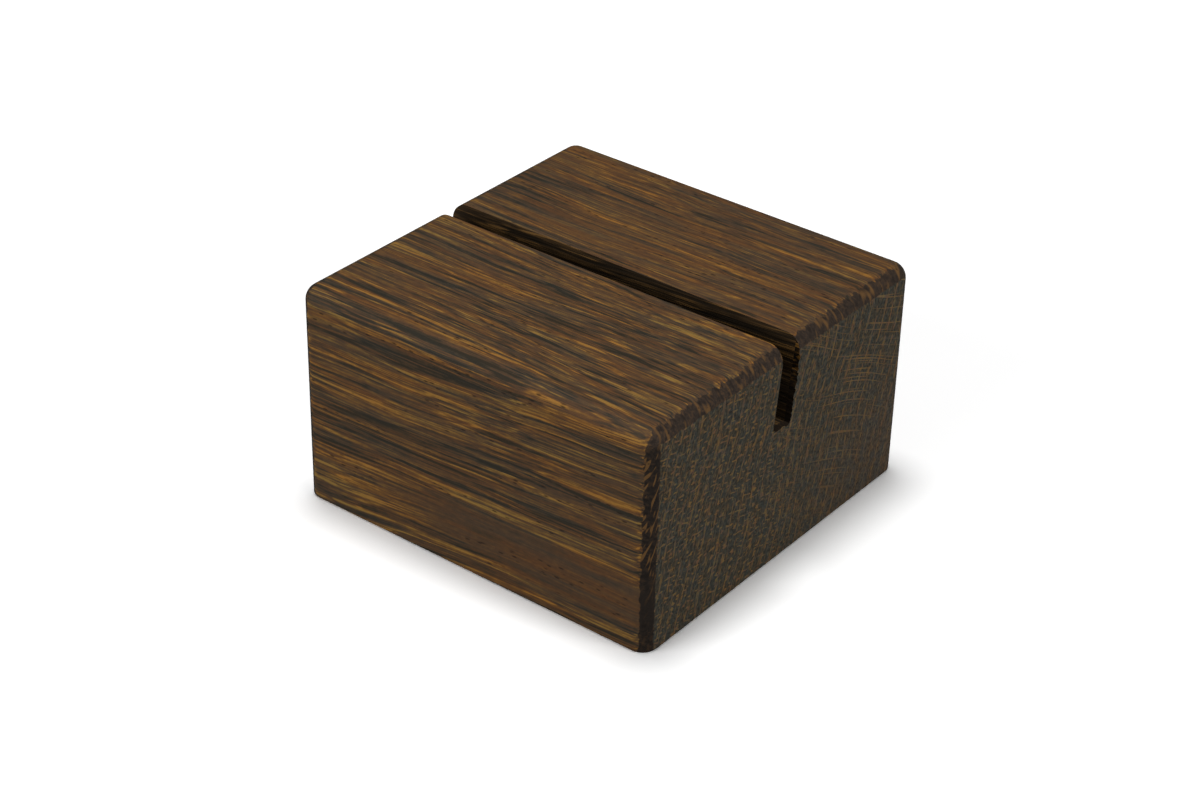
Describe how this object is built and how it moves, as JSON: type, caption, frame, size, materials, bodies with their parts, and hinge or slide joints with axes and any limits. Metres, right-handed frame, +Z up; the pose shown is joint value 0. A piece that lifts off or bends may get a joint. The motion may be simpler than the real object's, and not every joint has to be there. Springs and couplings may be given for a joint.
{
  "type": "place card holder",
  "caption": "Low square block of dark oiled hardwood with rounded edges and a leaning saw slot right across its top that holds a place card upright, tipped slightly back.",
  "frame": {"origin": "middle of the flat underside, which rests on the table", "axes": "+X along the card slot and the grain, +Y towards the back, the way the card leans, +Z up"},
  "size_m": [0.05, 0.0494, 0.028],
  "materials": {
    "dark_oiled_oak": "oiled, semi-matt"
  },
  "bodies": {
    "root": {"block": "dark_oiled_oak"}
  },
  "joints": []
}
